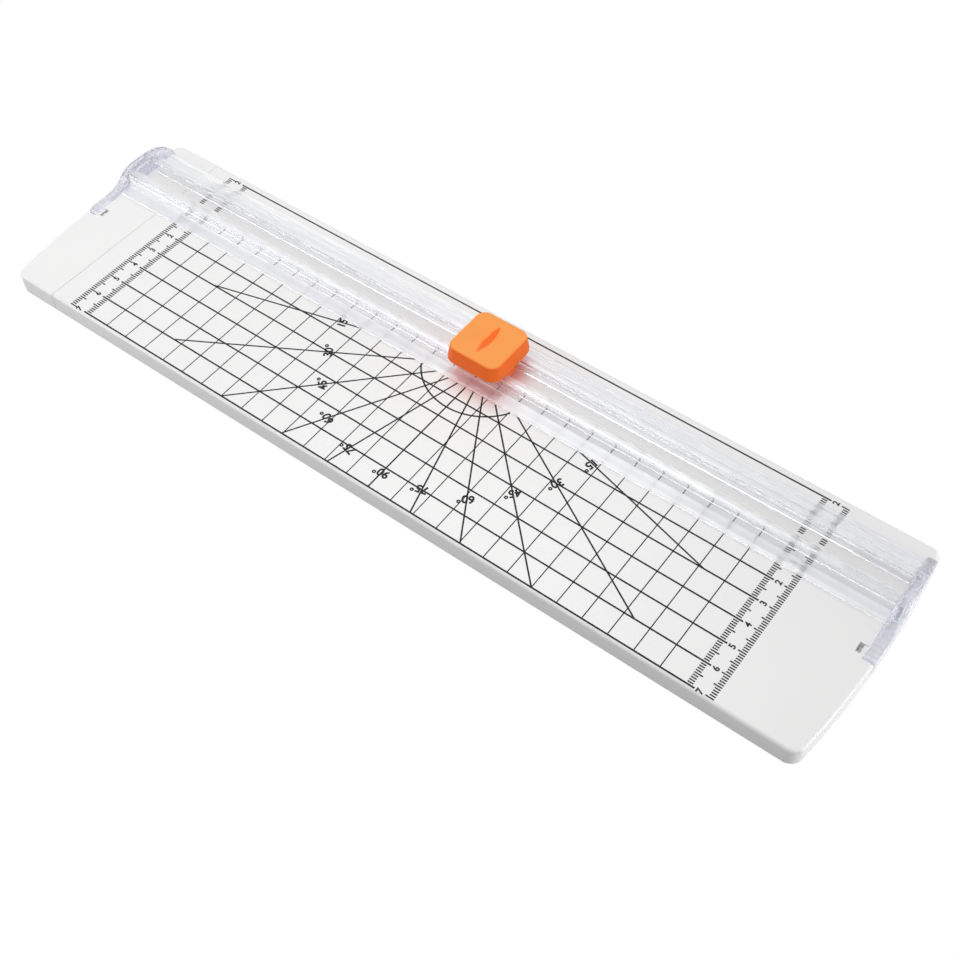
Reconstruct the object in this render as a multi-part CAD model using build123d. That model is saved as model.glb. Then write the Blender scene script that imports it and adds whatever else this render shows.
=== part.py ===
# A desk paper cutter: a white base, a clear rail that hinges up on two arms, and an orange
# cutter head that slides in the rail's slot and is pressed down against two springs.
# Millimetres. X runs along the rail, Y to the rear, Z up. The origin is on the table,
# under the middle of the base.
from build123d import *
from math import atan, cos, degrees, radians, sin, sqrt, tan
import os

# Base moulding
base_length = 359.0
base_depth = 95.0
base_height = 8.0
base_wall = 2.2
base_skin = 2.2
base_edge_radius = 1.5
end_radius = 390.0
end_crown_setback = 37.0
front_corner_radius = 5.0
rear_corner_radius = 4.0
least_corner_radius = 0.5
rib_thickness = 1.4
rib_inset = 1.0
cross_rib_count = 8
long_rib_count = 4

# Witness groove across the left of the base
seam_inset = 24.8
seam_width = 0.35
seam_depth = 0.2

# Rubber feet, set in from the base's ends and sides
foot_radius = 5.0
foot_stand = 1.0
foot_seat = 1.5
foot_end_inset = 29.5
foot_side_inset = 11.5
foot_post_wall = 1.8
foot_play = 0.1

# Cut line, measured from the rear edge, and the strip that the blade runs in
cut_setback = 23.5
strip_end_gap = 6.8
strip_width = 2.4
strip_depth = 1.6
strip_play = 0.05
strip_bed = 1.4
blade_groove_width = 0.8
blade_groove_depth = 1.1

# Rail section: distances from the cut line, and heights above the base's top
paper_gap = 0.4
slot_half = 3.95
rail_height = 6.5
tongue_reach = 1.0
tongue_low = 3.0
tongue_thickness = 1.0
tongue_cutback = 20.5
slot_wall = 1.4
slot_wall_low = 1.0
ridge_roof = 1.4
front_top = 8.0
front_root = 9.3
front_root_height = 2.3
front_bevel = 12.4
front_bevel_height = 1.3
front_toe = 14.0
front_toe_height = 0.9
rear_top = 7.8
rear_root = 9.0
flange_height = 1.8
flange_step = 13.4
flange_tip_height = 1.1
flange_tip = 16.2
ridge_edge_radius = 0.5

# Arms at the rail's ends; places along an arm are distances behind the cut line
arm_thickness = 4.7
arm_play = 0.3
arm_depth = 5.7
arm_nose_radius = 3.1
arm_hump_height = 7.0
arm_slope_foot = -18.0
arm_hump_front = -1.0
arm_hump_rear = 5.0
arm_tail = 17.6
arm_tail_turn = 30.0
arm_edge_radius = 1.0
trough_depth = 1.2
trough_lip = 0.8
trough_width = 2.2
trough_front = -19.5
trough_rear = 4.3
window_front = -13.0
window_rear = -7.5
arm_core_wall = 1.1
arm_core_front = -4.0
arm_core_rear = 14.0

# Hinge stubs and the pockets that they turn in
pivot_setback = -26.1
pivot_drop = 2.6
stub_radius = 1.4
stub_length = 2.6
hinge_clearance = 0.08
pocket_length = 3.3
pocket_width = 4.1
pocket_depth = 4.6
web_thickness = 1.2
web_drop = 0.5
hinge_block_wall = 1.6

# Cutter head, at rest near the middle of the rail
head_x = 5.4
slide_gap = 0.15
carriage_length = 20.0
carriage_low = 0.7
carriage_floor = 0.9
tray_wall = 1.2
tray_low = 6.7
tray_deck = 1.0
tray_height = 3.6
well_wall = 0.9
well_top = 10.5
press_travel = 1.2

# Cap
cap_top = 14.3
cap_press_gap = 0.2
cap_bottom_x = 24.2
cap_bottom_y = 24.8
cap_draft = 9.0
cap_corner_radius = 5.0
cap_edge_radius = 0.9
cap_roof = 1.8
cap_cavity_x = 18.6
cap_cavity_y = 19.6
cap_cavity_radius = 3.0
catch_reach = 0.5
catch_height = 0.6
catch_width = 6.0
catch_play = 0.1
fin_length = 15.0
fin_width = 3.2
fin_crest = 0.4
fin_height = 2.0

# Blade and the holder that clamps it
blade_thickness = 0.4
blade_width = 4.6
blade_side = 7.6
blade_slant = 25.0
blade_bevel = 1.2
blade_bite = 0.5
blade_play = 0.05
holder_half_x = 3.4
holder_half_y = 1.6
holder_low = 3.2
peg_radius = 0.6
peg_x = 1.9
peg_below_roof = 1.3

# Return springs
spring_radius = 1.7
spring_wire = 0.45
spring_wire_sides = 4
spring_turns = 3
spring_x = 6.1
spring_seat = 4.9
spring_play = 0.25
spring_end_play = 0.05

# How far a cutting tool runs past the face that it opens
overshoot = 1.0

base_top = foot_stand + base_height
cap_low = rail_height + press_travel + cap_press_gap
blade_tip = press_travel - blade_bite
half_length = base_length / 2
half_depth = base_depth / 2
end_crown_y = half_depth - end_crown_setback
cut_y = half_depth - cut_setback
foot_x = half_length - foot_end_inset
foot_y = half_depth - foot_side_inset
arm_inner_x = half_length - arm_thickness
arm_tail_y = cut_y + arm_tail
strip_end = arm_inner_x - strip_end_gap
pivot_y = cut_y + pivot_setback
pivot_z = base_top - pivot_drop
spring_outer = spring_radius + spring_wire / 2


def end_x(y, inset):
    """Half length of the base at a given depth, less an inset: its ends bulge on a wide arc."""
    return half_length - end_radius + sqrt((end_radius - inset) ** 2 - (y - end_crown_y) ** 2)


def block(x0, x1, y0, y1, z0, z1):
    """Box between two corners."""
    return Pos(x0, y0, z0) * Box(x1 - x0, y1 - y0, z1 - z0, align=(Align.MIN,) * 3)


def post(radius, x, y, z0, z1):
    """Upright cylinder between two heights."""
    return Pos(x, y, z0) * Cylinder(radius, z1 - z0, align=(Align.CENTER, Align.CENTER, Align.MIN))


def rod(radius, x0, x1, y, z):
    """Cylinder along X."""
    bar = Rot(0, 90, 0) * Cylinder(radius, x1 - x0, align=(Align.CENTER, Align.CENTER, Align.MIN))
    return Pos(x0, y, z) * bar


def prism_x(outline, x0, x1):
    """Solid with a Y-Z outline, from x0 to x1."""
    return extrude(Plane.YZ.offset(x0) * outline, x1 - x0)


def rounded_slab(width, depth, radius, z0, z1):
    """Upright block with rounded corners."""
    return Pos(0, 0, z0) * extrude(RectangleRounded(width, depth, radius), z1 - z0)


def mirror_x(shape):
    """The same shape at the other end of the base."""
    return mirror(shape, about=Plane.YZ)


def plan(inset=0.0):
    """Plan of the base, drawn in from its edge by an inset."""
    front = inset - half_depth
    rear = half_depth - inset
    front_x = end_x(front, inset)
    rear_x = end_x(rear, inset)
    crown_x = half_length - inset
    outline = [
        Line((-front_x, front), (front_x, front)),
        ThreePointArc((front_x, front), (crown_x, end_crown_y), (rear_x, rear)),
        Line((rear_x, rear), (-rear_x, rear)),
        ThreePointArc((-rear_x, rear), (-crown_x, end_crown_y), (-front_x, front)),
    ]
    face = make_face(outline)
    front_radius = max(front_corner_radius - inset, least_corner_radius)
    rear_radius = max(rear_corner_radius - inset, least_corner_radius)
    face = fillet(face.vertices().group_by(Axis.Y)[0], front_radius)
    return fillet(face.vertices().group_by(Axis.Y)[-1], rear_radius)


def base_blank(inset=0.0):
    """Outside form of the base with its rounded top edge, drawn in all round by an inset."""
    height = base_height - inset
    blank = Pos(0, 0, foot_stand) * extrude(plan(inset), height)
    return fillet(blank.edges().group_by(Axis.Z)[-1], base_edge_radius - inset)


def s_curve(start, end):
    """Two equal arcs that leave one point and reach the other along Y."""
    middle = ((start[0] + end[0]) / 2, (start[1] + end[1]) / 2)
    return [TangentArc(start, middle, tangent=(1, 0)), TangentArc(end, middle, tangent=(-1, 0))]


def tail_curve(start, end):
    """Wide arc and then a tighter one, from level at the first point to upright at the second."""
    run = end[0] - start[0]
    drop = start[1] - end[1]
    wide = tan(radians(arm_tail_turn / 2))
    tight = tan(radians(45 + arm_tail_turn / 2))
    knee_run = (tight * run - drop) / (tight - wide)
    knee = (start[0] + knee_run, start[1] - wide * knee_run)
    turn = radians(arm_tail_turn)
    return [
        TangentArc(start, knee, tangent=(1, 0)),
        TangentArc(knee, end, tangent=(cos(turn), -sin(turn))),
    ]


def arm_outline(lower=0.0):
    """Side view of an arm: round nose on the pivot, S-shaped rise, hump and rounded tail."""
    nose_top = pivot_z + arm_nose_radius - lower
    hump = base_top + arm_hump_height - lower
    floor = base_top - arm_depth - lower
    tail = base_top - lower
    slope_foot = (cut_y + arm_slope_foot, nose_top)
    hump_front = (cut_y + arm_hump_front, hump)
    hump_rear = (cut_y + arm_hump_rear, hump)
    nose = ThreePointArc(
        (pivot_y, floor),
        (pivot_y - (nose_top - floor) / 2, (nose_top + floor) / 2),
        (pivot_y, nose_top),
    )
    edges = [
        nose,
        Line((pivot_y, nose_top), slope_foot),
        *s_curve(slope_foot, hump_front),
        Line(hump_front, hump_rear),
        *tail_curve(hump_rear, (arm_tail_y, tail)),
        Line((arm_tail_y, tail), (arm_tail_y, floor)),
        Line((arm_tail_y, floor), (pivot_y, floor)),
    ]
    return make_face(edges)


def recess(grow=0.0):
    """Space that the right arm drops into, open at the base's end; grow adds the wall round it."""
    front = pivot_y - arm_nose_radius - arm_play - grow
    rear = arm_tail_y + arm_play + grow
    floor = base_top - arm_depth - arm_play - grow
    end = half_length + overshoot
    return block(arm_inner_x - arm_play - grow, end, front, rear, floor, base_top + overshoot)


def hinge_pocket():
    """Pocket beside the right arm, with a lowered web that the stub passes through."""
    inner_x = arm_inner_x - pocket_length
    web_x = arm_inner_x - arm_play - web_thickness
    y0 = pivot_y - pocket_width / 2
    y1 = pivot_y + pocket_width / 2
    ceiling = base_top + overshoot
    well = block(inner_x, web_x, y0, y1, base_top - pocket_depth, ceiling)
    saddle = block(inner_x, arm_inner_x, y0, y1, base_top - web_drop, ceiling)
    bore = rod(stub_radius + hinge_clearance, inner_x, arm_inner_x, pivot_y, pivot_z)
    return well + saddle + bore


def hinge_block():
    """Solid part of the base round the hinge pocket."""
    half = pocket_width / 2 + hinge_block_wall
    inner_x = arm_inner_x - pocket_length - hinge_block_wall
    return block(inner_x, arm_inner_x, pivot_y - half, pivot_y + half, foot_stand, base_top)


def make_base_board():
    """White base: a shell with ribs, foot posts, a strip bed, arm recesses and hinge pockets."""
    inner_top = base_top - base_skin
    low = foot_stand - overshoot
    hollow = Pos(0, 0, low) * extrude(plan(base_wall), inner_top - low)
    rib_low = foot_stand + rib_inset
    half_rib = rib_thickness / 2
    for i in range(long_rib_count):
        y = (i + 1) * base_depth / (long_rib_count + 1) - half_depth
        hollow -= block(-half_length, half_length, y - half_rib, y + half_rib, rib_low, inner_top)
    for i in range(cross_rib_count):
        x = (i + 1) * base_length / (cross_rib_count + 1) - half_length
        hollow -= block(x - half_rib, x + half_rib, -half_depth, half_depth, rib_low, inner_top)
    bed_half = strip_width / 2 + strip_bed
    bed_low = base_top - strip_depth - strip_bed
    bed_end = strip_end + strip_bed
    hollow -= block(-bed_end, bed_end, cut_y - bed_half, cut_y + bed_half, bed_low, base_top)
    for x in (-foot_x, foot_x):
        for y in (-foot_y, foot_y):
            hollow -= post(foot_radius + foot_post_wall, x, y, foot_stand, base_top)
    for keep in (recess(base_wall), hinge_block()):
        hollow -= keep
        hollow -= mirror_x(keep)
    board = base_blank() - hollow
    for cut in (recess(), hinge_pocket()):
        board -= cut
        board -= mirror_x(cut)
    groove_half = strip_width / 2 + strip_play
    groove_end = strip_end + strip_play
    board -= block(
        -groove_end,
        groove_end,
        cut_y - groove_half,
        cut_y + groove_half,
        base_top - strip_depth,
        base_top + overshoot,
    )
    for x in (-foot_x, foot_x):
        for y in (-foot_y, foot_y):
            board -= post(foot_radius + foot_play, x, y, 0, foot_stand + foot_seat)
    seam_x = seam_inset - half_length
    seam = block(seam_x, seam_x + seam_width, -half_depth, half_depth, 0, base_top)
    return board - (seam - base_blank(seam_depth))


def make_cutting_strip():
    """Soft strip in the groove under the slot, with the fine groove that the blade follows."""
    half = strip_width / 2
    strip = block(-strip_end, strip_end, cut_y - half, cut_y + half, base_top - strip_depth, base_top)
    groove = blade_groove_width / 2
    floor = base_top - blade_groove_depth
    ceiling = base_top + overshoot
    return strip - block(-strip_end, strip_end, cut_y - groove, cut_y + groove, floor, ceiling)


def make_foot(x, y):
    """Rubber foot seated in its post."""
    return post(foot_radius, x, y, 0, foot_stand + foot_seat)


def bar_outline(points, side):
    """Closed outline of one rail bar from (distance, height) pairs; side is -1 for the front."""
    placed = [(cut_y + side * distance, base_top + height) for distance, height in points]
    return make_face(Polyline(*placed, close=True))


def front_bar_outline():
    """Front bar: bevelled foot, sloped front wall, ridge and slot wall, cored from below."""
    wall = slot_half + slot_wall
    roof = rail_height - ridge_roof
    return bar_outline(
        [
            (slot_half, slot_wall_low),
            (slot_half, rail_height),
            (front_top, rail_height),
            (front_root, front_root_height),
            (front_bevel, front_bevel_height),
            (front_toe, front_toe_height),
            (front_toe, paper_gap),
            (front_root - slot_wall / 2, paper_gap),
            (front_top - slot_wall, roof),
            (wall, roof),
            (wall, slot_wall_low),
        ],
        -1,
    )


def rear_bar_outline():
    """Rear bar: slot wall, ridge, and the wide flange that presses the paper."""
    wall = slot_half + slot_wall
    roof = rail_height - ridge_roof
    return bar_outline(
        [
            (slot_half, slot_wall_low),
            (slot_half, rail_height),
            (rear_top, rail_height),
            (rear_root, flange_height),
            (flange_step, flange_height),
            (flange_step + flange_height - flange_tip_height, flange_tip_height),
            (flange_tip, flange_tip_height),
            (flange_tip, paper_gap),
            (rear_root - slot_wall / 2, paper_gap),
            (rear_top - slot_wall, roof),
            (wall, roof),
            (wall, slot_wall_low),
        ],
        1,
    )


def make_arm():
    """Right arm: curved plate flush with the base's end, troughed on top and cored from below."""
    arm = prism_x(arm_outline(), arm_inner_x, half_length + overshoot)
    arm &= extrude(plan(), base_top + 2 * arm_hump_height)
    rim = [
        edge
        for edge in arm.edges()
        if edge.center().X > arm_inner_x + arm_thickness / 2
        and edge.center().Y < arm_tail_y - arm_edge_radius
        and edge.center().Z > base_top - arm_depth / 2
    ]
    arm = fillet(rim, arm_edge_radius)
    floor = base_top - arm_depth - overshoot
    ceiling = base_top + arm_hump_height + overshoot
    wide = (arm_inner_x - overshoot, half_length + overshoot)
    trough_x = arm_inner_x + trough_lip
    trough_end = trough_x + trough_width
    trough = block(trough_x, trough_end, cut_y + trough_front, cut_y + trough_rear, floor, ceiling)
    arm -= trough - prism_x(arm_outline(trough_depth), *wide)
    arm -= block(trough_x, trough_end, cut_y + window_front, cut_y + window_rear, floor, ceiling)
    under = prism_x(arm_outline(trough_depth + arm_core_wall), *wide)
    core = block(
        arm_inner_x + arm_core_wall,
        half_length - 2 * arm_core_wall,
        cut_y + arm_core_front,
        cut_y + arm_core_rear,
        base_top - arm_depth - arm_hump_height,
        base_top + arm_hump_height,
    )
    arm -= core & under
    stub_root = arm_inner_x + arm_thickness / 2
    return arm + rod(stub_radius, arm_inner_x - stub_length, stub_root, pivot_y, pivot_z)


def make_clear_rail():
    """Clear rail in one moulding: two bars with tongues along the slot, and an arm at each end."""
    reach = arm_inner_x + trough_lip
    rail = None
    for outline, side in ((front_bar_outline(), -1), (rear_bar_outline(), 1)):
        bar = prism_x(outline, -reach, reach)
        top_edges = bar.edges().filter_by(Axis.X).group_by(Axis.Z)[-1]
        bar = fillet(top_edges, ridge_edge_radius)
        inner = cut_y + side * (slot_half - tongue_reach)
        outer = cut_y + side * (slot_half + slot_wall / 2)
        tongue_end = arm_inner_x - tongue_cutback
        low = base_top + tongue_low
        bar += block(
            -tongue_end, tongue_end, min(inner, outer), max(inner, outer), low, low + tongue_thickness
        )
        rail = bar if rail is None else rail + bar
    arm = make_arm()
    return rail + arm + mirror_x(arm)


def make_carriage():
    """Slider: grooved body between the tongues, a tray that guides the cap, and the blade well."""
    half = carriage_length / 2
    wide = slot_half - slide_gap
    narrow = slot_half - tongue_reach - slide_gap
    low = base_top + carriage_low
    groove_low = base_top + tongue_low - slide_gap
    groove_top = base_top + tongue_low + tongue_thickness + slide_gap
    tray_z = base_top + tray_low
    body = block(-half, half, -wide, wide, low, groove_low)
    body += block(-half, half, -narrow, narrow, groove_low, groove_top)
    body += block(-half, half, -wide, wide, groove_top, tray_z)
    tray_x = cap_cavity_x - 2 * slide_gap
    tray_y = cap_cavity_y - 2 * slide_gap
    tray_r = cap_cavity_radius - slide_gap
    tray = rounded_slab(tray_x, tray_y, tray_r, tray_z, tray_z + tray_height)
    tray -= rounded_slab(
        tray_x - 2 * tray_wall,
        tray_y - 2 * tray_wall,
        tray_r - tray_wall,
        tray_z + tray_deck,
        tray_z + tray_height + overshoot,
    )
    well_x = holder_half_x + slide_gap
    well_y = holder_half_y + slide_gap
    tower_x = tray_x / 2
    tower_y = spring_outer + spring_play + well_wall
    tower = block(-tower_x, tower_x, -tower_y, tower_y, tray_z, base_top + well_top)
    body += tray + tower
    body -= block(-well_x, well_x, -well_y, well_y, low + carriage_floor, base_top + cap_top)
    for x in (-spring_x, spring_x):
        body -= post(spring_outer + spring_play, x, 0, base_top + spring_seat, base_top + cap_top)
    slit_x = blade_width / 2 + slide_gap
    slit_y = blade_groove_width / 2
    body -= block(-slit_x, slit_x, -slit_y, slit_y, base_top, base_top + holder_low)
    catch_y = catch_width / 2 + catch_play
    catch_z = base_top + cap_low + catch_height + catch_play
    for side in (-1, 1):
        x0 = side * (tray_x / 2 - catch_reach - catch_play + slide_gap)
        x1 = side * (tray_x / 2 + overshoot)
        body -= block(min(x0, x1), max(x0, x1), -catch_y, catch_y, tray_z, catch_z)
    return Pos(head_x, cut_y, 0) * body


def make_cap():
    """Push cap: drafted shell with rounded corners, a thumb fin on top and two catches inside."""
    low = base_top + cap_low
    rim = Pos(0, 0, low) * RectangleRounded(cap_bottom_x, cap_bottom_y, cap_corner_radius)
    cap = extrude(rim, cap_top - cap_low, taper=cap_draft)
    cap = fillet(cap.edges().group_by(Axis.Z)[-1], cap_edge_radius)
    roof = base_top + cap_top - cap_roof
    cap -= rounded_slab(cap_cavity_x, cap_cavity_y, cap_cavity_radius, base_top, roof)
    half = catch_width / 2
    for side in (-1, 1):
        inner = side * (cap_cavity_x / 2 - catch_reach)
        outer = side * (cap_cavity_x / 2 + cap_roof / 2)
        cap += block(min(inner, outer), max(inner, outer), -half, half, low, low + catch_height)
    return Pos(head_x, cut_y, 0) * (cap + make_fin())


def make_fin():
    """Thumb fin: a lens in plan that narrows upwards to a crest, for pushing with a finger."""
    half = fin_length / 2
    sides = [
        ThreePointArc((0, -half), (fin_width / 2, 0), (0, half)),
        ThreePointArc((0, half), (-fin_width / 2, 0), (0, -half)),
    ]
    slope = degrees(atan((fin_width - fin_crest) / 2 / fin_height))
    return extrude(Pos(0, 0, base_top + cap_top) * make_face(sides), fin_height, taper=slope)


def blade_outline(grow=0.0):
    """Parallelogram in X and Z, its slanted ends at the blade slant, grown by a play all round."""
    half = blade_width / 2 + grow
    drop = 2 * half * tan(radians(blade_slant))
    low = base_top + blade_tip - grow
    high = low + blade_side + 2 * grow
    return [(-half, low), (-half, high), (half, high + drop), (half, low + drop)]


def blade_solid(grow=0.0, y0=0.0, y1=0.0):
    """Blade outline given a thickness between two Y planes."""
    face = make_face(Polyline(*blade_outline(grow), close=True))
    return extrude(Plane.XZ.offset(-y1) * face, y1 - y0)


def make_blade():
    """Blade with its lower slanted end ground to an edge on both faces."""
    half = blade_thickness / 2
    blade = blade_solid(0.0, -half, half)
    corners = blade_outline()
    along = Vector(cos(radians(blade_slant)), 0, sin(radians(blade_slant)))
    tip = Vector(corners[0][0], 0, corners[0][1])
    start = Plane(origin=tip - along, x_dir=(0, 1, 0), z_dir=along)
    for side in (-1, 1):
        far = side * blade_thickness
        wedge = Polyline((0, 0), (far, 0), (far, 2 * blade_bevel), close=True)
        blade -= extrude(start * make_face(wedge), 2 * blade_width)
    return Pos(head_x, cut_y, 0) * blade


def make_blade_holder():
    """Holder behind the blade, with the pocket that the blade lies in and two pegs."""
    half = blade_thickness / 2
    roof = base_top + cap_top - cap_roof
    holder = block(-holder_half_x, holder_half_x, -half, holder_half_y, base_top + holder_low, roof)
    holder -= blade_solid(blade_play, -half - overshoot, half)
    for x in (-peg_x, peg_x):
        peg = Rot(90, 0, 0) * Cylinder(
            peg_radius, holder_half_y, align=(Align.CENTER, Align.CENTER, Align.MIN)
        )
        holder += Pos(x, 0, roof - peg_below_roof) * peg
    return Pos(head_x, cut_y, 0) * holder


def make_blade_keeper():
    """Plate that closes the pocket from the front, held by the holder's pegs."""
    half = blade_thickness / 2
    roof = base_top + cap_top - cap_roof
    keeper = block(-holder_half_x, holder_half_x, -holder_half_y, -half, base_top + holder_low, roof)
    for x in (-peg_x, peg_x):
        hole = Rot(90, 0, 0) * Cylinder(peg_radius + blade_play, 4 * holder_half_y)
        keeper -= Pos(x, 0, roof - peg_below_roof) * hole
    return Pos(head_x, cut_y, 0) * keeper


def make_spring(x):
    """Coil spring from its seat in the carriage to the cap's roof."""
    low = base_top + spring_seat + spring_wire / 2 + spring_end_play
    high = base_top + cap_top - cap_roof - spring_wire / 2 - spring_end_play
    quarters = 4 * spring_turns
    step = 90 / 2

    def point(i):
        angle = radians(i * step)
        rise = (high - low) * i / (2 * quarters)
        return (spring_radius * cos(angle), spring_radius * sin(angle), rise)

    arcs = [ThreePointArc(point(2 * i), point(2 * i + 1), point(2 * i + 2)) for i in range(quarters)]
    path = Wire(arcs)
    start = Plane(origin=path @ 0, z_dir=path % 0)
    coil = sweep(start * RegularPolygon(spring_wire / 2, spring_wire_sides), path)
    return Pos(head_x + x, cut_y, low) * coil


def make_parts():
    """Every sub-part by its node name."""
    parts = {
        "base_board": make_base_board(),
        "cutting_strip": make_cutting_strip(),
        "clear_rail": make_clear_rail(),
        "cutter_carriage": make_carriage(),
        "cutter_cap": make_cap(),
        "blade_holder": make_blade_holder(),
        "blade_keeper": make_blade_keeper(),
        "cutting_blade": make_blade(),
        "return_spring_left": make_spring(-spring_x),
        "return_spring_right": make_spring(spring_x),
    }
    for side, x in (("left", -foot_x), ("right", foot_x)):
        for place, y in (("front", -foot_y), ("rear", foot_y)):
            parts[f"foot_{place}_{side}"] = make_foot(x, y)
    return parts


os.makedirs("parts", exist_ok=True)
for name, shape in make_parts().items():
    export_step(shape, f"parts/{name}.step")
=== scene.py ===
"""Looks of the desk paper cutter: printed ruler and protractor, clear rail, orange cutter head.

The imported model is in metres, with +X along the rail, +Y to the rear and +Z up. Sizes of the
print are given in millimetres and in centimetres of the printed scale, and turned into metres.
"""
from math import atan2, cos, degrees, hypot, radians, sin

import bmesh
import bpy
from mathutils import Matrix, Vector


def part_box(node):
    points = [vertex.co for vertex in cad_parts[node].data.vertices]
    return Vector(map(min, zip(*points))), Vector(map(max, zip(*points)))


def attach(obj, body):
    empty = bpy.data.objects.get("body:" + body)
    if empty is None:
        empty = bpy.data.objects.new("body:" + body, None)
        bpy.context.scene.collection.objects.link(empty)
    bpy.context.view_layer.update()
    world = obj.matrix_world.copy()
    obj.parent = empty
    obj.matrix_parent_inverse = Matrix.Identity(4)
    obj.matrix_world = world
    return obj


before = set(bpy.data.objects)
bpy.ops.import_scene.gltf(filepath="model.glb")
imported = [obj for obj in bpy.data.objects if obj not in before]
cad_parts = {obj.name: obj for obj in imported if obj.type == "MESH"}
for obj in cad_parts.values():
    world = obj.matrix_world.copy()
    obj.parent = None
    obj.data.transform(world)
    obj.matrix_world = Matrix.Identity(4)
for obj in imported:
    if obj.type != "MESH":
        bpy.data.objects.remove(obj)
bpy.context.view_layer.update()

MM = 0.001
BASE_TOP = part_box("base_board")[1][2]

# Camera in millimetres, worked out from the printed centimetre scale in a 960 by 960 image
CAMERA_AT = (209.46, -247.35, 391.46)
CAMERA_RIGHT = (0.8008, 0.5988, -0.0110)
CAMERA_UP = (-0.4741, 0.6451, 0.5992)
LENS = 51.22
SENSOR = 36.0
NEAR_LIMIT = 10.0

# Printed scale in millimetres: its centimetre, its zero, and the cut line that its rows are
# counted from, towards the front
SCALE_CM = 10
SCALE_ZERO_X = -135.2
CUT_Y = 24.0

# Grid: its rows, columns and their ends in scale centimetres, the widths in millimetres
ROWS = (-2, -1, 2, 3, 4, 5, 6, 7)
ROW_ENDS = (-0.25, 27.28)
ROW_WIDTH = 0.66
COLUMN_COUNT = 26
COLUMN_ENDS = (0.14, 7.0)
COLUMN_WIDTH = 0.4

# Tick columns: start and end of a short tick, and of a long one, in scale centimetres.
# No tick comes this near to the cut line, and a whole centimetre has none between the ends of
# the rows, widened by a margin
TICK_COLUMNS = (
    ((-0.985, -0.78), (-0.985, -0.65)),
    ((-0.155, 0.065), (-0.255, 0.065)),
    ((26.965, 27.175), (26.965, 27.285)),
    ((27.775, 27.985), (27.675, 27.985)),
)
CUT_CLEAR = 0.14
ROW_MARGIN = 0.1
TICK_WIDTH = 0.52
FIRST_TICK = -20
LAST_TICK = 70
TICKS_PER_CM = 10
TICKS_PER_LONG = 5

# Ruler numbers: two columns, read from the right
NUMBERS = (-2, -1, 1, 2, 3, 4, 5, 6, 7)
NUMBER_COLUMNS = (-0.507, 27.476)
NUMBER_SIZE = 3.3
NUMBER_BOLD = 0.1
NUMBER_TURN = 90

# Protractor: rays from where the rail's toe ends, each to its own row, and an arc across them
FAN_CENTRE_GX = 14.0
FAN_START = 1.32
FAN_ENDS = {15: 3.0, 30: 6.0, 45: 7.0, 60: 7.0, 75: 7.0, 90: 7.0}
RAY_WIDTH = 0.6
ARC_RADIUS = 2.42
ARC_CENTRE_GY = 0.1
ARC_SPREAD = 58.0
ARC_STEPS = 40
ARC_WIDTH = 0.66

# Degree labels: the angle, and the middle of the label in scale centimetres
LABELS = (
    (90, 13.98, 6.23),
    (75, 15.5, 6.0),
    (60, 17.07, 5.41),
    (45, 18.23, 4.27),
    (30, 19.18, 3.05),
    (15, 19.7, 1.66),
    (75, 12.32, 6.07),
    (60, 10.8, 5.44),
    (45, 9.62, 4.32),
    (30, 8.75, 2.94),
    (15, 8.23, 1.47),
)
LABEL_SIZE = 4.6
LABEL_BOLD = 0.15
TEXT_STEPS = 4

# Ink in millimetres: it reaches into the base, and each layer is a step higher than the last
INK_SINK = 0.02
INK_RISE = 0.02
INK_STEP = 0.004
COLUMN_LAYER = 0
TICK_LAYER = 0
ROW_LAYER = 1
RAY_LAYER = 2
ARC_LAYER = 3
TEXT_LAYER = 5

# Moulded surfaces: drift of the colour, spread of the gloss, and grain with its depth in
# millimetres
DRIFT = 0.02
DRIFT_SCALE = 18.0
DRIFT_DETAIL = 3.0
GLOSS_SPREAD = (0.85, 1.15)
GRAIN_SCALE = 900.0
GRAIN_DETAIL = 2.0
GRAIN_DEPTH = 0.05

# Orange plastic: where the painted shade of an upright wall, a deeper and redder orange that stands
# in for the shade and the glow of light through the thin plastic on its sides, turns into the top's
# colour; how light spreads in it, to a depth in millimetres, and its tinted shadow
WALL_SHADE_TO_TOP = (0.55, 0.97)
ORANGE_ROUGHNESS = 0.42
ORANGE_GRAIN = 0.3
ORANGE_SHINE = 0.15
SPREAD_SHARE = 0.4
SPREAD_COLOURS = (1.0, 0.25, 0.06)
SPREAD_DEPTH = 4.0
ORANGE_SHADOW = (0.82, 0.17, 0.08, 1.0)

# Clear plastic, and its draw lines: they vary its tint, gloss and normal
CLEAR_IOR = 1.49
CLEAR_COAT = 0.6
CLEAR_COAT_ROUGHNESS = 0.08
LINE_SCALE = (1.5, 900.0, 900.0)
LINE_DETAIL = 3.0
LINE_SPAN = (0.4, 0.6)
LINE_TINTS = ((0.83, 0.845, 0.89, 1.0), (1.0, 1.0, 1.0, 1.0))
LINE_GLOSS = (0.26, 0.42)
LINE_BUMP = 0.28
LINE_DEPTH = 0.1
CLEAR_SHADOW = (0.92, 0.92, 0.925, 1.0)

# Clear rail: flanges up to a height above the base are frosted more, walls along it are
# polished, and the arms at its ends are tinted. Heights and lengths are in millimetres
FLANGE_HEIGHT = 2.3
FLANGE_BLEND = 0.5
FLANGE_FROST = 0.35
WALL_STEEPNESS = (0.3, 0.9)
WALL_POLISH = 0.2
ARM_FROM = 173.8
ARM_BLEND = 1.0
ARM_TINT = (0.86, 0.86, 0.91, 1.0)

# Stage: the floor and the world look white, but give the object less light than that.
# The floor reaches this many metres each way from the middle
FLOOR_REACH = 4.0
FLOOR_COLOUR = (0.3, 0.3, 0.3, 1.0)
FLOOR_ROUGHNESS = 0.9
FLOOR_WHITE_SHARE = 0.9
FLOOR_WHITE = 1.09
WORLD_LIGHT = 0.23
WORLD_WHITE = 1.0

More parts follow.
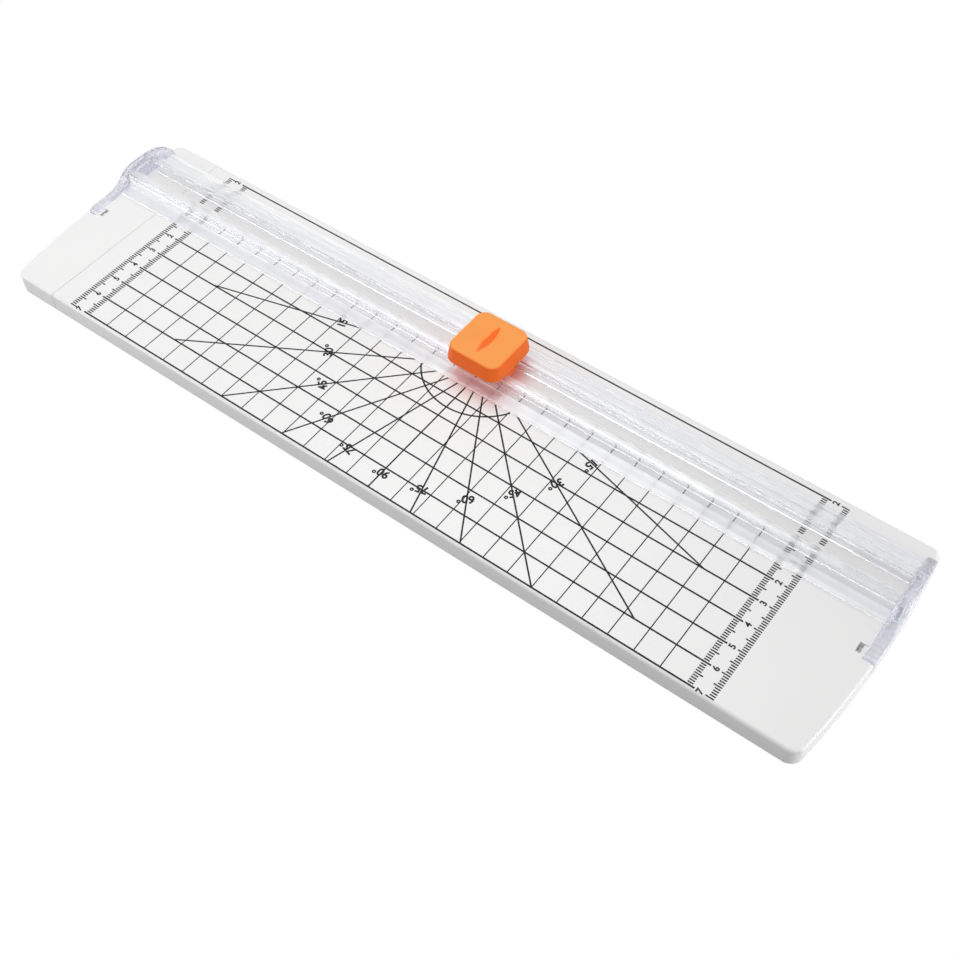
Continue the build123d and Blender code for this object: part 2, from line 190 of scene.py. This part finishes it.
# Square soft lamps: place, aim and side in metres, and power in watts
LAMPS = {
    "key": ((-0.2, 0.22, 0.82), (-0.06, 0, 0), 0.5, 3.45),
    "rear_left": ((-0.5, 0.3, 0.8), (-0.05, 0, 0), 0.7, 1.0),
    "front": ((0, -0.4, 0.8), (0, 0, 0), 0.7, 1.2),
    "right_fill": ((0.7, 0.1, 0.05), (0, 0, 0), 0.3, 3.2),
    "left_fill": ((-0.5, -0.5, 0.18), (-0.05, 0, 0), 0.5, 1.9),
}


def node(tree, kind, **values):
    """Adds a shader node and sets its attributes."""
    made = tree.nodes.new(kind)
    for name, value in values.items():
        setattr(made, name, value)
    return made


def feed(tree, socket, value):
    """Links another node's output to a socket, or sets the socket to a plain value."""
    if isinstance(value, bpy.types.NodeSocket):
        tree.links.new(value, socket)
    else:
        socket.default_value = value


def new_material(name):
    """Material with its node tree and its main shader."""
    made = bpy.data.materials.new(name)
    made.use_nodes = True
    tree = made.node_tree
    return made, tree, tree.nodes["Principled BSDF"]


def add_noise(tree, place, scale, detail):
    """Smooth noise from 0 to 1."""
    noise = node(tree, "ShaderNodeTexNoise")
    feed(tree, noise.inputs["Vector"], place)
    feed(tree, noise.inputs["Scale"], scale)
    feed(tree, noise.inputs["Detail"], detail)
    return noise.outputs["Fac"]


def map_range(tree, value, result, span=(0.0, 1.0)):
    """Brings a value from its span to the ends of a result, and holds it between them."""
    ramp = node(tree, "ShaderNodeMapRange")
    feed(tree, ramp.inputs["Value"], value)
    for side, start, end in (("From", *span), ("To", *result)):
        feed(tree, ramp.inputs[f"{side} Min"], start)
        feed(tree, ramp.inputs[f"{side} Max"], end)
    return ramp.outputs["Result"]


def calculate(tree, operation, *values):
    """Result of an operation on one or two values."""
    step = node(tree, "ShaderNodeMath", operation=operation)
    for socket, value in zip(step.inputs, values):
        feed(tree, socket, value)
    return step.outputs["Value"]


def split(tree, vector):
    """X, Y and Z of a vector."""
    parts = node(tree, "ShaderNodeSeparateXYZ")
    feed(tree, parts.inputs["Vector"], vector)
    return parts.outputs


def mix_colours(tree, share, first, second, way="MIX"):
    """Colour between two colours, or their product."""
    mix = node(tree, "ShaderNodeMix", data_type="RGBA", blend_type=way)
    feed(tree, mix.inputs["Factor"], share)
    feed(tree, mix.inputs["A"], first)
    feed(tree, mix.inputs["B"], second)
    return mix.outputs["Result"]


def add_bump(tree, shader, height, strength, depth):
    """Tilts the shader's normal by a height from 0 to 1, which stands for a depth in millimetres."""
    bump = node(tree, "ShaderNodeBump")
    feed(tree, bump.inputs["Strength"], strength)
    feed(tree, bump.inputs["Distance"], depth * MM)
    feed(tree, bump.inputs["Height"], height)
    feed(tree, shader.inputs["Normal"], bump.outputs["Normal"])


def blend_shaders(tree, share, first, second):
    """Ends a material in a mix of two shaders."""
    mix = node(tree, "ShaderNodeMixShader")
    feed(tree, mix.inputs["Fac"], share)
    feed(tree, mix.inputs[1], first.outputs[0])
    feed(tree, mix.inputs[2], second.outputs[0])
    feed(tree, tree.nodes["Material Output"].inputs["Surface"], mix.outputs["Shader"])


def looking_rays(tree):
    """1 for the rays that show a surface: straight from the camera, in a mirror or through glass."""
    path = node(tree, "ShaderNodeLightPath")
    seen = path.outputs["Is Camera Ray"]
    for other in ("Is Glossy Ray", "Is Transmission Ray"):
        seen = calculate(tree, "MAXIMUM", seen, path.outputs[other])
    return seen


def material(name, colour, roughness, grain, painted_wall_shade=None, **sockets):
    """Moulded surface: a colour with faint drift, uneven gloss and a fine grain in the normal.

    Upright walls can get a painted shade, a colour of their own that stands in for how light falls
    on them. Other sockets of the shader are named with _ in place of a space.
    """
    made, tree, shader = new_material(name)
    place = node(tree, "ShaderNodeTexCoord")
    plain = (*colour, 1.0)
    # Painted shade: faces that turn sideways take the deeper wall colour, which stands in for shade
    # and glow, not for a colour of the plastic
    if painted_wall_shade:
        upward = split(tree, place.outputs["Normal"])["Z"]
        unshaded_share = map_range(tree, upward, (0.0, 1.0), WALL_SHADE_TO_TOP)
        plain = mix_colours(tree, unshaded_share, (*painted_wall_shade, 1.0), plain)
    drift = add_noise(tree, place.outputs["Object"], DRIFT_SCALE, DRIFT_DETAIL)
    tone = map_range(tree, drift, (1.0 - DRIFT, 1.0 + DRIFT))
    feed(tree, shader.inputs["Base Color"], mix_colours(tree, 1.0, plain, tone, "MULTIPLY"))
    fine = add_noise(tree, place.outputs["Object"], GRAIN_SCALE, GRAIN_DETAIL)
    gloss = map_range(tree, fine, [roughness * spread for spread in GLOSS_SPREAD])
    feed(tree, shader.inputs["Roughness"], gloss)
    add_bump(tree, shader, fine, grain, GRAIN_DEPTH)
    for socket, value in sockets.items():
        feed(tree, shader.inputs[socket.replace("_", " ")], value)
    return made


def orange_material(name, top_colour, painted_wall_shade):
    """Thin orange moulding: light spreads in it, its shadow is orange, and its upright walls get a
    painted shade, deeper and redder than its top.
    """
    made = material(
        name, top_colour, ORANGE_ROUGHNESS, ORANGE_GRAIN, painted_wall_shade,
        Specular_IOR_Level=ORANGE_SHINE,
        Subsurface_Weight=SPREAD_SHARE,
        Subsurface_Radius=SPREAD_COLOURS,
        Subsurface_Scale=SPREAD_DEPTH * MM,
    )
    tree = made.node_tree
    shader = tree.nodes["Principled BSDF"]
    pass_light = node(tree, "ShaderNodeBsdfTransparent")
    feed(tree, pass_light.inputs["Color"], ORANGE_SHADOW)
    path = node(tree, "ShaderNodeLightPath")
    blend_shaders(tree, path.outputs["Is Shadow Ray"], shader, pass_light)
    return made


def clear_material():
    """Clear moulded plastic with fine draw lines along X, which lets lamp light through."""
    made, tree, shader = new_material("clear_plastic")
    feed(tree, shader.inputs["IOR"], CLEAR_IOR)
    feed(tree, shader.inputs["Transmission Weight"], 1.0)
    feed(tree, shader.inputs["Coat Weight"], CLEAR_COAT)
    feed(tree, shader.inputs["Coat Roughness"], CLEAR_COAT_ROUGHNESS)
    place = node(tree, "ShaderNodeTexCoord")
    spot = split(tree, place.outputs["Object"])
    facing = split(tree, place.outputs["Normal"])

    stretch = node(tree, "ShaderNodeMapping")
    feed(tree, stretch.inputs["Vector"], place.outputs["Object"])
    feed(tree, stretch.inputs["Scale"], LINE_SCALE)
    lines = add_noise(tree, stretch.outputs["Vector"], 1.0, LINE_DETAIL)
    band = map_range(tree, lines, (0.0, 1.0), LINE_SPAN)
    add_bump(tree, shader, lines, LINE_BUMP, LINE_DEPTH)

    outward = calculate(tree, "ABSOLUTE", spot["X"])
    arm_span = (ARM_FROM * MM, (ARM_FROM + ARM_BLEND) * MM)
    arm_share = map_range(tree, outward, (0.0, 1.0), arm_span)
    tint = mix_colours(tree, band, *LINE_TINTS)
    tint = mix_colours(tree, arm_share, tint, ARM_TINT, "MULTIPLY")
    feed(tree, shader.inputs["Base Color"], tint)

    gloss = map_range(tree, band, LINE_GLOSS)
    flange_span = [BASE_TOP + high * MM for high in (FLANGE_HEIGHT, FLANGE_HEIGHT + FLANGE_BLEND)]
    frost = map_range(tree, spot["Z"], (FLANGE_FROST, 0.0), flange_span)
    steepness = calculate(tree, "ABSOLUTE", facing["Y"])
    polish = map_range(tree, steepness, (1.0, WALL_POLISH), WALL_STEEPNESS)
    frosted = calculate(tree, "ADD", gloss, frost)
    feed(tree, shader.inputs["Roughness"], calculate(tree, "MULTIPLY", frosted, polish))

    pass_light = node(tree, "ShaderNodeBsdfTransparent")
    feed(tree, pass_light.inputs["Color"], CLEAR_SHADOW)
    path = node(tree, "ShaderNodeLightPath")
    rays = [path.outputs[kind] for kind in ("Is Shadow Ray", "Is Diffuse Ray")]
    blend_shaders(tree, calculate(tree, "MAXIMUM", *rays), shader, pass_light)
    return made


def floor_material():
    """Floor that is mostly plain white where it is seen, and grey to all other light."""
    made, tree, shader = new_material("floor_white")
    feed(tree, shader.inputs["Base Color"], FLOOR_COLOUR)
    feed(tree, shader.inputs["Roughness"], FLOOR_ROUGHNESS)
    light = node(tree, "ShaderNodeEmission")
    feed(tree, light.inputs["Strength"], FLOOR_WHITE)
    share = calculate(tree, "MULTIPLY", looking_rays(tree), FLOOR_WHITE_SHARE)
    blend_shaders(tree, share, shader, light)
    return made


def add_object(name, data):
    """New object in the scene."""
    made = bpy.data.objects.new(name, data)
    bpy.context.scene.collection.objects.link(made)
    return made


def make_camera():
    """Camera at the photograph's place."""
    lens = bpy.data.cameras.new("camera")
    lens.lens = LENS
    lens.sensor_width = SENSOR
    lens.sensor_fit = "HORIZONTAL"
    lens.clip_start = NEAR_LIMIT * MM
    holder = add_object("camera", lens)
    right = Vector(CAMERA_RIGHT).normalized()
    up = Vector(CAMERA_UP)
    up = (up - right * up.dot(right)).normalized()
    turn = Matrix((right, up, right.cross(up))).transposed().to_4x4()
    holder.matrix_world = Matrix.Translation(Vector(CAMERA_AT) * MM) @ turn
    bpy.context.scene.camera = holder


def add_lamp(name, place, target, size, power):
    """Square soft lamp aimed at a point."""
    lamp = bpy.data.lights.new(name, "AREA")
    lamp.shape = "SQUARE"
    lamp.size = size
    lamp.energy = power
    aim = Vector(target) - Vector(place)
    turn = aim.to_track_quat("-Z", "Y").to_matrix().to_4x4()
    add_object(name, lamp).matrix_world = Matrix.Translation(place) @ turn


def make_floor():
    """Pale square floor under the feet."""
    mesh = bmesh.new()
    corners = ((-1, -1), (1, -1), (1, 1), (-1, 1))
    mesh.faces.new([mesh.verts.new((x * FLOOR_REACH, y * FLOOR_REACH, 0)) for x, y in corners])
    data = bpy.data.meshes.new("floor")
    mesh.to_mesh(data)
    mesh.free()
    floor = add_object("floor", data)
    data.materials.append(floor_material())


def make_world():
    """World that is white where it is seen, and gives less light than that."""
    world = bpy.data.worlds.new("studio")
    bpy.context.scene.world = world
    world.use_nodes = True
    tree = world.node_tree
    back = tree.nodes["Background"]
    feed(tree, back.inputs["Color"], (1.0, 1.0, 1.0, 1.0))
    level = map_range(tree, looking_rays(tree), (WORLD_LIGHT, WORLD_WHITE))
    feed(tree, back.inputs["Strength"], level)


def coat_nodes():
    """Materials of the carried-over nodes; those that aren't listed are the rubber feet."""
    white = material("white_plastic", (0.86, 0.86, 0.856), roughness=0.38, grain=0.25)
    cream = material("pale_strip", (0.87, 0.87, 0.84), roughness=0.55, grain=0.3)
    # The walls of the cap and carriage, and the flanks of the cap's fin, get a deeper, redder
    # orange: painted shade and painted glow
    cap = orange_material("orange_cap", (1.0, 0.37, 0.085), painted_wall_shade=(1.0, 0.17, 0.02))
    carriage = orange_material("orange_carriage", (1.0, 0.26, 0.06), painted_wall_shade=(1.0, 0.17, 0.05))
    grey = material("grey_holder", (0.16, 0.16, 0.165), roughness=0.5, grain=0.3)
    steel = material("blade_steel", (0.66, 0.67, 0.68), roughness=0.28, grain=0.4, Metallic=1.0)
    wire = material("spring_steel", (0.55, 0.56, 0.58), roughness=0.3, grain=0.2, Metallic=1.0)
    rubber = material("foot_rubber", (0.03, 0.03, 0.03), roughness=0.8, grain=0.5)
    coats = {
        "base_board": white,
        "cutting_strip": cream,
        "clear_rail": clear_material(),
        "cutter_carriage": carriage,
        "cutter_cap": cap,
        "blade_holder": grey,
        "blade_keeper": grey,
        "cutting_blade": steel,
        "return_spring_left": wire,
        "return_spring_right": wire,
    }
    for name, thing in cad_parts.items():
        thing.data.materials.clear()
        thing.data.materials.append(coats.get(name, rubber))


def scale_point(gx, gy):
    """Point of the printed scale in millimetres."""
    return SCALE_ZERO_X + SCALE_CM * gx, CUT_Y - SCALE_CM * gy


def add_stroke(mesh, start, end, width, layer):
    """Flat bar of ink between two points in millimetres."""
    (x0, y0), (x1, y1) = start, end
    side = Vector((y0 - y1, x1 - x0, 0)) * (width / 2 / hypot(x1 - x0, y1 - y0))
    low = BASE_TOP / MM - INK_SINK
    high = BASE_TOP / MM + INK_RISE + INK_STEP * layer
    rings = []
    for z in (low, high):
        first = Vector((x0, y0, z))
        last = Vector((x1, y1, z))
        outline = (first + side, first - side, last - side, last + side)
        rings.append([mesh.verts.new(corner * MM) for corner in outline])
    lower, upper = rings
    mesh.faces.new(lower)
    mesh.faces.new(upper[::-1])
    for i in range(4):
        j = (i + 1) % 4
        mesh.faces.new((lower[j], lower[i], upper[i], upper[j]))


def finish_mesh(mesh, name, body, coat):
    """Turns a bmesh into a piece that rides on a body."""
    bmesh.ops.recalc_face_normals(mesh, faces=mesh.faces)
    data = bpy.data.meshes.new(name)
    mesh.to_mesh(data)
    mesh.free()
    piece = add_object(name, data)
    data.materials.append(coat)
    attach(piece, body)


def make_grid(ink):
    """Rows and columns of the centimetre grid."""
    mesh = bmesh.new()
    for gy in ROWS:
        start, end = (scale_point(gx, gy) for gx in ROW_ENDS)
        add_stroke(mesh, start, end, ROW_WIDTH, ROW_LAYER)
    for gx in range(1, COLUMN_COUNT + 1):
        start, end = (scale_point(gx, gy) for gy in COLUMN_ENDS)
        add_stroke(mesh, start, end, COLUMN_WIDTH, COLUMN_LAYER)
    finish_mesh(mesh, "printed_grid", "base", ink)


def make_rulers(ink):
    """Millimetre ticks at both ends, left out at the cut line and where rows take their place."""
    mesh = bmesh.new()
    for tick in range(FIRST_TICK, LAST_TICK + 1):
        gy = tick / TICKS_PER_CM
        if abs(gy) < CUT_CLEAR:
            continue
        for short, long in TICK_COLUMNS:
            gx0, gx1 = long if tick % TICKS_PER_LONG == 0 else short
            between_ends = ROW_ENDS[0] < gx0 + ROW_MARGIN and gx1 < ROW_ENDS[1] + ROW_MARGIN
            if tick % TICKS_PER_CM == 0 and between_ends:
                continue
            add_stroke(mesh, scale_point(gx0, gy), scale_point(gx1, gy), TICK_WIDTH, TICK_LAYER)
    finish_mesh(mesh, "printed_rulers", "base", ink)


def make_protractor(ink):
    """Rays every 15 degrees, drawn as from a point on the cut line, and an arc across them."""
    mesh = bmesh.new()
    for angle, end_gy in FAN_ENDS.items():
        for side in (1, -1) if angle < 90 else (1,):
            slope = side * cos(radians(angle)) / sin(radians(angle))
            start, end = (scale_point(FAN_CENTRE_GX + gy * slope, gy) for gy in (FAN_START, end_gy))
            add_stroke(mesh, start, end, RAY_WIDTH, RAY_LAYER)
    points = []
    for i in range(ARC_STEPS + 1):
        turn = radians(-ARC_SPREAD + 2 * ARC_SPREAD * i / ARC_STEPS)
        gx = FAN_CENTRE_GX + ARC_RADIUS * sin(turn)
        gy = ARC_CENTRE_GY + ARC_RADIUS * cos(turn)
        points.append(scale_point(gx, gy))
    for start, end in zip(points, points[1:]):
        add_stroke(mesh, start, end, ARC_WIDTH, ARC_LAYER)
    finish_mesh(mesh, "printed_protractor", "base", ink)


def text_mesh(words, gx, gy, size, bold, turn):
    """Printed words: a thin raised shape of ink, turned about Z by an angle in degrees."""
    font = bpy.data.curves.new("number", "FONT")
    font.body = words
    font.size = size * MM
    font.align_x = "CENTER"
    font.align_y = "CENTER"
    font.extrude = (INK_SINK + INK_RISE) / 2 * MM
    font.offset = bold * MM
    font.resolution_u = TEXT_STEPS
    holder = add_object("number", font)
    bpy.context.view_layer.update()
    graph = bpy.context.evaluated_depsgraph_get()
    data = bpy.data.meshes.new_from_object(holder.evaluated_get(graph))
    bpy.data.objects.remove(holder)
    x, y = scale_point(gx, gy)
    z = BASE_TOP / MM + (INK_RISE - INK_SINK) / 2 + TEXT_LAYER * INK_STEP
    place = Matrix.Translation(Vector((x, y, z)) * MM)
    data.transform(place @ Matrix.Rotation(radians(turn), 4, "Z"))
    return data


def make_numbers(ink):
    """Ruler numbers, and degree labels that read outwards from the protractor's centre."""
    mesh = bmesh.new()
    for gx in NUMBER_COLUMNS:
        for gy in NUMBERS:
            number = text_mesh(str(abs(gy)), gx, gy, NUMBER_SIZE, NUMBER_BOLD, NUMBER_TURN)
            mesh.from_mesh(number)
    for angle, gx, gy in LABELS:
        turn = degrees(atan2(-gy, gx - FAN_CENTRE_GX)) - 90
        mesh.from_mesh(text_mesh(f"{angle}°", gx, gy, LABEL_SIZE, LABEL_BOLD, turn))
    finish_mesh(mesh, "printed_numbers", "base", ink)


make_camera()
make_floor()
make_world()
for lamp_name, lamp_values in LAMPS.items():
    add_lamp(lamp_name, *lamp_values)
coat_nodes()
ink = material("black_ink", (0.009, 0.009, 0.01), roughness=0.6, grain=0.1, Specular_IOR_Level=0.2)
make_grid(ink)
make_rulers(ink)
make_protractor(ink)
make_numbers(ink)

bpy.context.scene.view_settings.view_transform = "Standard"
